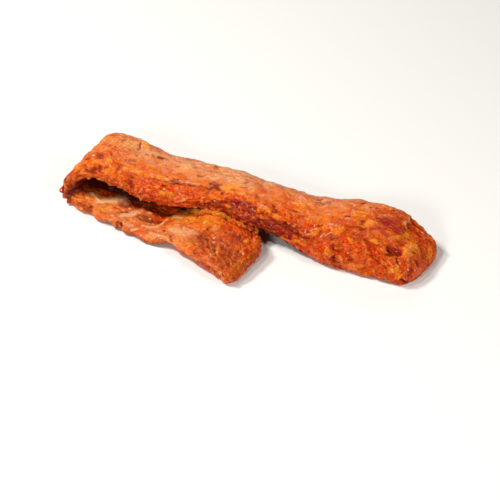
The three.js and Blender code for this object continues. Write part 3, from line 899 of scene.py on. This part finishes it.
def fine_relief(g, fields, strand):
    """Height of the lumps, strands, grains and creases above the solid's own relief, in millimetres."""
    s, w, h = g["s"], g["w"], g["h"]
    thick = smoothstep(s, 470, 500)
    ribs = smoothstep(-h, -1, 3) * smoothstep(s, 360, 380)
    ends = 1 - smoothstep(g["size"], 0.75, 1)
    rim = bell(h / 5) * (1 - ends)
    rough = roughness_of_form(g)
    warp = gradient_noise(s / 11, w / 11, h / 11 + 21)
    lobes = np.abs(gradient_noise(s / 15 + 0.5 * warp, w / 10, h / 10 + 0.5 * warp))
    small_lobes = np.abs(gradient_noise(s / 6.5 + 0.5 * warp, w / 5, h / 5 + 9))
    swell = gradient_noise(s / 24, w / 17, h / 17 + 33)
    small = gradient_noise(s / 3.2, w / 2.6, h / 2.6 + 16)
    near, second, own = cells_noise(s / 3.0, w / 2.6, h / 2.6)
    crumbs = smoothstep(second - near, 0.0, 0.5) * (0.6 + 0.6 * own)
    rise = 0.7 * swell + 2.0 * (lobes - 0.32) * (0.2 + 0.8 * rough) + 1.6 * (small_lobes - 0.32) * rough
    rise = rise + 0.5 * (strand - 0.65) * (1 - 0.6 * thick) + 0.45 * small * rough
    patchy = smoothstep(gradient_noise(s / 14, w / 12, h / 12 + 27), -0.1, 0.4)
    rise = rise + 1.3 * np.maximum(0, rough - 0.3) * (crumbs - 0.55) * (0.25 + 0.75 * patchy)
    smooth = 1 - 0.75 * fields["pale"] * np.maximum(ribs, 0.4)
    scallop = gradient_noise(s / 6, 0 * s + 3, h / 7) + 0.6 * gradient_noise(s / 2.8, 0 * s + 8, h / 4)
    corner = bell((g["u_ribs"] - along_line(s, TAIL_CORNER)) / 2.4) * smoothstep(s, 470, 482)
    return rise * smooth * (1 - 0.5 * ends) + 0.7 * scallop * rim + 1.1 * corner


def normals_of(p, rings, around):
    """Outward normals of the points of a grid of rings."""
    grid = p.reshape(rings, around, 3)
    round_it = np.roll(grid, -1, axis=1) - np.roll(grid, 1, axis=1)
    along_it = np.gradient(grid, axis=0)
    return unit(np.cross(along_it, round_it).reshape(-1, 3))


def blurred(values, rings, around, times):
    """Values on the grid, each evened out with its neighbours a number of times."""
    v = values.reshape(rings, around)
    for _ in range(times):
        v = (v + np.roll(v, 1, axis=1) + np.roll(v, -1, axis=1)) / 3
        v = np.vstack([v[:1], (v[:-2] + v[1:-1] + v[2:]) / 3, v[-1:]])
    return v.ravel()


def shade_fields(g, fields):
    """Paints shade on the surfaces in the fold, under the upper run and on the low near side of the tail,
    reddens the inside of the fold and the crest of the tail's end, and takes fat and pale skin off them
    all."""
    s, h, u_ribs = g["s"], g["h"], g["u_ribs"]
    inside = between(s, 300, 325, 358, 372) * smoothstep(-h, 0, 4)
    below = between(s, 90, 120, 185, 200) * smoothstep(-h, 1, 6)
    roof = between(s, 190, 215, 335, 350) * smoothstep(-h, 1, 4)
    under = between(s, 356, 366, 474, 486) * smoothstep(u_ribs - along_line(s, SHADE_EDGE), -2, 4)
    low_side = between(s, 405, 420, 472, 484) * smoothstep(-u_ribs, 34, 40)
    crest = 0.4 * smoothstep(s, 478, 488) * smoothstep(u_ribs, 9, 14)
    # The painted shade: in the fold, under the upper run and its lip, and on the tail's low near side.
    fields["shade"] = np.max([under, below, roof, 0.7 * low_side, 0.6 * inside], axis=0)
    for kind, share in (("mauve", 0.8 * inside), ("spiced", inside), ("spice", crest)):
        fields[kind] = np.maximum(fields[kind], share)
    bare = np.max([inside, 0.7 * fields["shade"], crest], axis=0)
    for kind in ("fat", "pale"):
        fields[kind] = fields[kind] * (1 - bare)


def rack_surface():
    """Points of the dressed rack in millimetres, places on the strip, fields, and the size of the grid."""
    s, size = fine_rings()
    turn, from_meat, from_ribs = fine_turns(s)
    p, g = strip(s, size, turn)
    g["u_meat"] = (from_meat * size[:, None]).ravel()
    g["u_ribs"] = (from_ribs * size[:, None]).ravel()
    fields, stroke_rise = patch_fields(g)
    strand = strand_field(g)
    lost, rim, shaded_foot = layer_edges(g)
    broken = smoothstep(gradient_noise(g["s"] / 7, g["w"] / 7, g["h"] / 7 + 61), -0.2, 0.3)
    # Painted highlight: the lit rims of the layer edges turn pale. Painted shade: their feet turn lean.
    fields["pale"] = np.maximum(fields["pale"], 0.5 * rim * broken)
    fields["lean"] = np.maximum(fields["lean"], 0.6 * shaded_foot * (0.4 + 0.6 * broken))
    rise = (fine_relief(g, fields, strand) + stroke_rise - lost) * smoothstep(g["size"], 0, 0.15)
    p = seated(p + normals_of(p, len(s), FINE_AROUND) * rise[:, None], g["cut"])
    # How far each place lies below its neighbours: the hollows turn darker red, partly from pooled marinade
    # and partly as painted shade, and the crests lighter orange, partly from thin marinade and partly as
    # painted light.
    hollow = blurred(rise, len(s), FINE_AROUND, 20) - rise
    fields["deep"] = np.clip(hollow / 1.4, 0, 1)
    fields["high"] = np.clip(-hollow / 1.2, 0, 1)
    fields["spiced"] = spiced(g)
    fields["golden"] = golden(g)
    fields["rough"] = roughness_of_form(g)
    shade_fields(g, fields)
    p[:, :2] -= solid_middle()
    return p, g, fields, len(s), FINE_AROUND


def add_fields(mesh, fields, place):
    """Stores the fields and the place on the strip of each of a mesh's points."""
    for name, values in fields.items():
        mesh.attributes.new(name, "FLOAT", "POINT").data.foreach_set("value", values.astype(np.float32))
    strip_place = mesh.attributes.new("strip", "FLOAT_VECTOR", "POINT")
    strip_place.data.foreach_set("vector", place.astype(np.float32).ravel())


def in_scene(data):
    """A new object in the scene that holds a mesh, a lamp or a camera, and has its name."""
    made = bpy.data.objects.new(data.name, data)
    bpy.context.scene.collection.objects.link(made)
    return made


def smooth_object(mesh):
    """A mesh as a smooth-shaded object in the scene."""
    mesh.polygons.foreach_set("use_smooth", [True] * len(mesh.polygons))
    return in_scene(mesh)


def make_rack(p, g, fields, rings, around):
    """The dressed rack: quads between the rings and a fan of triangles at each end."""
    first, last = p[:around].mean(0), p[-around:].mean(0)
    points = np.concatenate([p, [first, last]]) * MM
    ring = np.arange(rings - 1)[:, None] * around
    step = np.arange(around)[None]
    ahead = (step + 1) % around
    next_ring = ring + around
    quads = np.broadcast_arrays(ring + step, next_ring + step, next_ring + ahead, ring + ahead)
    quads = np.stack(quads, -1).reshape(-1, 4)
    head = [(rings * around, i, (i + 1) % around) for i in range(around)]
    low = (rings - 1) * around
    tail = [(rings * around + 1, low + (i + 1) % around, low + i) for i in range(around)]
    mesh = bpy.data.meshes.new("rack_surface")
    mesh.from_pydata(points.tolist(), [], quads.tolist() + head + tail)
    mesh.validate()
    ends = {k: np.concatenate([v, [v[:around].mean(), v[-around:].mean()]]) for k, v in fields.items()}
    place = np.column_stack([g["s"], g["w"], g["h"]]) * MM
    add_fields(mesh, ends, np.concatenate([place, [[0, 0, 0], [LENGTH * MM, 0, 0]]]))
    return smooth_object(mesh)


# ---- crumbs of meat and marinade, on the rough places and in the crease beside the tail ----
CRUMBS = 420  # loose ones
CRUMB_MM = (0.55, 0.95, 1.5)  # half the length of the smallest, the usual and the largest
CRUMB_SEED = 11
CREASE_BITS = 420
CREASE_MM = (1.2, 5.4)  # how wide the crease is where they fill it


def crease_bits(p, g):
    """Points of the tail beside the crease between it and the upper run's near edge, the middle of the
    crease at each, and its width there."""
    tail = np.flatnonzero((g["s"] > 470) & (g["s"] < 548) & (np.abs(g["u_ribs"] - 20) < 15))
    run = np.flatnonzero((g["s"] > 145) & (g["s"] < 262) & (g["u_meat"] > 28))[::2]
    squares = (p[tail] ** 2).sum(1)[:, None] + (p[run] ** 2).sum(1)[None] - 2 * p[tail] @ p[run].T
    nearest = squares.argmin(1)
    width = np.sqrt(np.maximum(squares[np.arange(len(tail)), nearest], 0))
    chosen = (width > CREASE_MM[0]) & (width < CREASE_MM[1])
    return tail[chosen], (p[tail] + p[run[nearest]])[chosen] / 2, width[chosen]


def crumb_chance(p, g, fields, normals):
    """How likely a crumb sticks to each place: most on rough low edges, not where it faces down or is
    hidden."""
    s = g["s"]
    upper_run = s < FOLD
    hidden = smoothstep(-g["h"], 2, 4) * upper_run
    low_edge = smoothstep(g["u_meat"], 24, 36) * upper_run + smoothstep(s, 530, 556)
    chance = (0.06 + low_edge) * np.clip(roughness_of_form(g) - 0.3, 0, 1)
    chance = chance * (normals[:, 2] > -0.3) * (p[:, 2] > 1.5) * (g["size"] > 0.4)
    chance = chance * (1 - fields["pale"]) * (1 - fields["shade"]) * (1 - hidden)
    chance = chance * smoothstep(gradient_noise(s / 9, g["w"] / 8, g["h"] / 8 + 71), -0.5, 0.4)
    return chance / chance.sum()


def ball():
    """Points and faces of a ball of radius 1."""
    made = bmesh.new()
    bmesh.ops.create_icosphere(made, subdivisions=2, radius=1)
    points = np.array([v.co[:] for v in made.verts])
    faces = np.array([[v.index for v in f.verts] for f in made.faces])
    made.free()
    return points, faces


def make_crumbs(p, g, fields, rings, around):
    """All the crumbs as one piece: lumpy balls, pressed along the meat that they stick to."""
    draw = np.random.default_rng(CRUMB_SEED)
    normals = normals_of(p, rings, around)
    along = unit(np.gradient(p.reshape(rings, around, 3), axis=0).reshape(-1, 3))
    loose = draw.choice(len(p), CRUMBS, replace=False, p=crumb_chance(p, g, fields, normals))
    beside, middle, width = crease_bits(p, g)
    filling = draw.choice(len(beside), CREASE_BITS, replace=False)
    base = np.concatenate([loose, beside[filling]])
    loose_size = draw.triangular(*CRUMB_MM, CRUMBS)
    filling_size = width[filling] * draw.uniform(0.4, 0.65, CREASE_BITS) + 0.5
    size = np.concatenate([loose_size, filling_size])
    count = len(base)
    points, faces = ball()
    stretch = [draw.uniform(low, high, count) for low, high in ((1, 1.7), (0.6, 1), (0.5, 0.8))]
    shape = size[:, None] * np.column_stack(stretch)
    lumpy = points[None] * np.clip(draw.normal(1, 0.2, (count, len(points), 1)), 0.55, 1.5) * shape[:, None]
    angle = draw.normal(0, 0.5, count)[:, None]
    n, t = normals[base], along[base]
    t = unit(t - n * (t * n).sum(1)[:, None])
    b = np.cross(n, t)
    axes = np.stack([t * np.cos(angle) + b * np.sin(angle), b * np.cos(angle) - t * np.sin(angle), n], 1)
    centre = p[base] + n * shape[:, 2:] * 0.35
    centre[CRUMBS:] = middle[filling]
    spots = centre[:, None] + np.einsum("ijk,ikl->ijl", lumpy, axes)
    spots[..., 2] = np.maximum(spots[..., 2], 0)
    mesh = bpy.data.meshes.new("meat_crumbs")
    all_faces = (faces[None] + np.arange(count)[:, None, None] * len(points)).reshape(-1, 3)
    mesh.from_pydata((spots.reshape(-1, 3) * MM).tolist(), [], all_faces.tolist())
    lifted = {name: np.repeat(values[base], len(points)) for name, values in fields.items()}
    # Crumbs stand proud, so they take more of the crests' lighter orange, partly painted light, and less of
    # the hollows' darker red, partly painted shade.
    lifted["high"] = np.clip(lifted["high"] + 0.4, 0, 1)
    lifted["deep"] = lifted["deep"] * 0.4
    place = np.column_stack([g["s"], g["w"], g["h"]])[base][:, None] + lumpy
    place = place + draw.uniform(-9, 9, (count, 1, 3))
    add_fields(mesh, lifted, place.reshape(-1, 3) * MM)
    return smooth_object(mesh)


# ---- materials ----
def srgb(red, green, blue):
    """An 8-bit screen colour as Blender's linear colour."""
    parts = [v / 255 for v in (red, green, blue)]
    return [v / 12.92 if v <= 0.04045 else ((v + 0.055) / 1.055) ** 2.4 for v in parts] + [1]


class Nodes:
    """Short names for the nodes of one material."""

    def __init__(self, name):
        self.material = bpy.data.materials.new(name)
        self.material.use_nodes = True
        self.tree = self.material.node_tree
        self.shader = self.tree.nodes["Principled BSDF"]

    def add(self, kind, **settings):
        node = self.tree.nodes.new(kind)
        for key, value in settings.items():
            setattr(node, key, value)
        return node

    def put(self, value, socket):
        """Links a node's output to a socket, or sets the socket to a number or a colour."""
        if isinstance(value, bpy.types.NodeSocket):
            self.tree.links.new(value, socket)
        else:
            socket.default_value = value

    def field(self, name):
        """One of the fields that are stored with the points."""
        return self.add("ShaderNodeAttribute", attribute_name=name).outputs["Fac"]

    def places(self, scale=(1, 1, 1)):
        """The places on the strip, in metres, for the patterns to lie on."""
        source = self.add("ShaderNodeAttribute", attribute_name="strip").outputs["Vector"]
        node = self.add("ShaderNodeMapping")
        node.inputs["Scale"].default_value = scale
        self.put(source, node.inputs["Vector"])
        return node.outputs["Vector"]

    def noise(self, scale, vector, detail=3.0, rough=0.55, distortion=0.0):
        node = self.add("ShaderNodeTexNoise")
        self.put(vector, node.inputs["Vector"])
        node.inputs["Scale"].default_value = scale
        node.inputs["Detail"].default_value = detail
        node.inputs["Roughness"].default_value = rough
        node.inputs["Distortion"].default_value = distortion
        return node.outputs["Fac"]

    def specks(self, scale, vector):
        node = self.add("ShaderNodeTexVoronoi")
        self.put(vector, node.inputs["Vector"])
        node.inputs["Scale"].default_value = scale
        return node.outputs["Distance"]

    def range(self, value, low, high, to_low=0.0, to_high=1.0):
        node = self.add("ShaderNodeMapRange", interpolation_type="SMOOTHSTEP")
        self.put(value, node.inputs["Value"])
        for key, number in (("From Min", low), ("From Max", high), ("To Min", to_low), ("To Max", to_high)):
            node.inputs[key].default_value = number
        return node.outputs["Result"]

    def times(self, a, b):
        return self.math("MULTIPLY", a, b)

    def math(self, operation, a, b):
        node = self.add("ShaderNodeMath", operation=operation)
        self.put(a, node.inputs[0])
        self.put(b, node.inputs[1])
        return node.outputs[0]

    def mix(self, share, a, b, blend="MIX"):
        node = self.add("ShaderNodeMix", data_type="RGBA", blend_type=blend)
        self.put(share, node.inputs["Factor"])
        self.put(a, node.inputs[6])
        self.put(b, node.inputs[7])
        return node.outputs[2]

    def bump(self, height, strength, distance, normal=None):
        node = self.add("ShaderNodeBump")
        node.inputs["Strength"].default_value = strength
        node.inputs["Distance"].default_value = distance
        self.put(height, node.inputs["Height"])
        if normal is not None:
            self.put(normal, node.inputs["Normal"])
        return node.outputs["Normal"]


def meat_material():
    """Marinated meat: its colours follow the fields, each with a ragged edge, under grain and herbs."""
    n = Nodes("marinated_meat")
    even = n.places()
    threads = n.places((1 / 7, 1, 1))
    blotch = n.noise(95, even, 4, 0.6, 0.6)
    grain = n.noise(520, even, 4, 0.7)
    fine = n.noise(900, even, 3, 0.6)
    thread = n.noise(560, threads, 3, 0.6, 0.3)
    tone = n.range(blotch, 0.34, 0.66)
    dry = n.mix(tone, srgb(226, 80, 6), srgb(252, 130, 28))
    wet = n.mix(tone, srgb(184, 28, 0), srgb(236, 74, 2))
    colour = n.mix(n.field("spiced"), dry, wet)
    # The golden field mixes in a paler, pinker orange: a painted sheen on the top and far side of the upper
    # run, and a paler colour on the near part of the tail.
    skin = n.mix(tone, srgb(224, 136, 82), srgb(240, 176, 120))
    colour = n.mix(n.times(n.field("golden"), 0.85), colour, skin)
    shades = (
        ("spice", grain, 0.85, srgb(226, 54, 0)),
        ("pink", thread, 0.75, srgb(226, 92, 56)),
        ("lean", grain, 0.9, srgb(132, 18, 6)),
        ("fat", grain, 0.75, srgb(254, 154, 38)),
        ("mauve", grain, 0.95, srgb(152, 18, 34)),
        ("pale", thread, 0.85, srgb(248, 190, 138)),
    )
    for name, pattern, most, shade in shades:
        field = n.field(name)
        ragged = n.math("ADD", field, n.range(pattern, 0.3, 0.7, -0.3, 0.3))
        share = n.times(n.range(field, 0, 0.25), n.range(ragged, 0.05, 1.0, 0, most))
        colour = n.mix(share, colour, shade)
    colour = n.mix(n.range(thread, 0.5, 0.7, 0, 0.35), colour, srgb(150, 36, 4))
    colour = n.mix(n.range(thread, 0.48, 0.3, 0, 0.35), colour, srgb(255, 170, 84))
    bare = n.math("MAXIMUM", n.field("lean"), n.math("MAXIMUM", n.field("mauve"), n.field("dark")))
    coated = n.range(bare, 0.2, 1, 1, 0.25)
    # Lighter orange on the crests, partly thin marinade and partly painted light, and darker red in the
    # hollows, partly pooled marinade and partly painted shade.
    high = n.times(coated, n.range(n.field("high"), 0.1, 1, 0, 0.45))
    colour = n.mix(high, colour, srgb(255, 156, 44))
    colour = n.mix(n.range(n.field("deep"), 0.1, 1, 0, 0.8), colour, srgb(128, 18, 2))
    lit = n.mix(n.field("spiced"), srgb(255, 184, 96), srgb(255, 146, 26))
    grainy = n.times(n.range(n.field("rough"), 0.2, 0.8, 0.4, 1), n.range(blotch, 0.4, 0.62, 0.55, 1))
    light = n.times(n.times(grainy, coated), n.range(grain, 0.53, 0.66, 0, 0.6))
    colour = n.mix(light, colour, lit)
    colour = n.mix(n.times(grainy, n.range(grain, 0.46, 0.34, 0, 0.65)), colour, srgb(136, 12, 0))
    herb = n.range(n.specks(190, even), 0.05, 0.09, 0.7, 0)
    herb = n.times(herb, n.range(n.noise(60, even, 1), 0.58, 0.66))
    colour = n.mix(herb, colour, srgb(84, 16, 4))
    colour = n.mix(n.times(coated, n.range(fine, 0.54, 0.66, 0, 0.35)), colour, lit)
    colour = n.mix(n.range(fine, 0.46, 0.34, 0, 0.35), colour, srgb(140, 18, 0))
    colour = n.mix(n.times(n.field("dark"), 0.7), colour, srgb(92, 8, 2))
    # Painted shade in the fold, under the upper run and on the tail beneath its lip.
    colour = n.mix(n.times(n.field("shade"), 0.92), colour, srgb(72, 6, 8))
    n.put(colour, n.shader.inputs["Base Color"])
    dull = n.range(n.noise(260, even, 3), 0.35, 0.7, 0.0, 0.25)
    dull = n.math("ADD", dull, n.range(n.field("spiced"), 0, 1, 0.3, 0.16))
    n.put(dull, n.shader.inputs["Roughness"])
    small = n.bump(grain, 1.0, 0.0018)
    small = n.bump(thread, 0.6, 0.0012, small)
    small = n.bump(fine, 0.9, 0.0013, small)
    n.put(small, n.shader.inputs["Normal"])
    n.put(n.bump(n.noise(340, even, 2), 0.7, 0.0012), n.shader.inputs["Coat Normal"])
    wetness = n.range(n.noise(210, even, 3), 0.46, 0.6, 0.0, 0.8)
    wetness = n.times(wetness, n.range(n.field("pale"), 0, 1, 1, 0.35))
    n.put(wetness, n.shader.inputs["Coat Weight"])
    for key, value in (
        ("Subsurface Weight", 0.3),
        ("Subsurface Scale", 0.0015),
        ("Specular IOR Level", 0.05),
        ("Coat Roughness", 0.12),
        ("Coat IOR", 1.36),
        ("Subsurface Radius", (1.0, 0.35, 0.15)),
    ):
        n.shader.inputs[key].default_value = value
    return n.material


def floor_material():
    n = Nodes("pale_floor")
    n.shader.inputs["Base Color"].default_value = srgb(236, 232, 226)
    n.shader.inputs["Roughness"].default_value = 0.8
    return n.material


# ---- the pieces ----
SURFACE = rack_surface()
MEAT = meat_material()
rack = make_rack(*SURFACE)
crumbs = make_crumbs(*SURFACE)
for piece in (rack, crumbs):
    piece.data.materials.append(MEAT)
    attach(piece, "root")
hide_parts("rack")

# ---- floor, light and camera ----
FLOOR_HALF = 3.0
FLOOR_DROP = 0.0002  # how far the floor lies below the rack
LAMP_DISTANCE = 1.6
# Name, heading (0 behind the camera, 90 to its left), height in degrees, power, size.
LAMPS = (
    ("key", 100, 50, 19, 0.3),
    ("glint", 70, 62, 6.5, 0.05),
    ("fill", -58, 36, 11, 0.3),
    ("low", 27, 28, 10.5, 0.3),
    ("sheen", 180, 30, 5, 0.5),
)
LAMP_AIM = (0, 0, 0.02)
# The camera stands on a line through the middle of the board, at this heading and height.
CAMERA_HEADING = 27.54
CAMERA_HEIGHT = 35.0
CAMERA_MM = 2300.0
CAMERA_AIM_MM = (14.39, -18.95, 0.0)  # the place on the board that the camera looks at
LENS_MM = 180.0


def towards(heading, height):
    """The direction at a heading, 0 for the front and 90 for the right, and a height in degrees."""
    flat, up = np.radians(heading), np.radians(height)
    return np.array([np.sin(flat) * np.cos(up), -np.cos(flat) * np.cos(up), np.sin(up)])


def aim(thing, place, target):
    """Puts a lamp or a camera at a place and turns it to look at a target."""
    thing.location = place
    thing.rotation_euler = (Vector(target) - Vector(place)).to_track_quat("-Z", "Y").to_euler()


corners = [(x * FLOOR_HALF, y * FLOOR_HALF, -FLOOR_DROP) for x, y in ((-1, -1), (1, -1), (1, 1), (-1, 1))]
floor_mesh = bpy.data.meshes.new("floor")
floor_mesh.from_pydata(corners, [], [(0, 1, 2, 3)])
floor_mesh.materials.append(floor_material())
in_scene(floor_mesh)

for name, heading, height, power, size in LAMPS:
    light = bpy.data.lights.new(name, "AREA")
    light.energy = power
    light.size = size
    aim(in_scene(light), towards(CAMERA_HEADING - heading, height) * LAMP_DISTANCE, LAMP_AIM)
world = bpy.data.worlds.new("studio")
world.use_nodes = True
world.node_tree.nodes["Background"].inputs["Color"].default_value = (1, 1, 1, 1)
world.node_tree.nodes["Background"].inputs["Strength"].default_value = 0.01
bpy.context.scene.world = world
bpy.context.scene.view_settings.view_transform = "Standard"

shift = np.append(solid_middle(), 0)
lens = bpy.data.cameras.new("camera")
lens.lens = LENS_MM
lens.sensor_width = 36.0
lens.clip_end = 20
camera = in_scene(lens)
from_mm = towards(CAMERA_HEADING, CAMERA_HEIGHT) * CAMERA_MM
aim(camera, (from_mm - shift) * MM, (np.array(CAMERA_AIM_MM) - shift) * MM)
bpy.context.scene.camera = camera
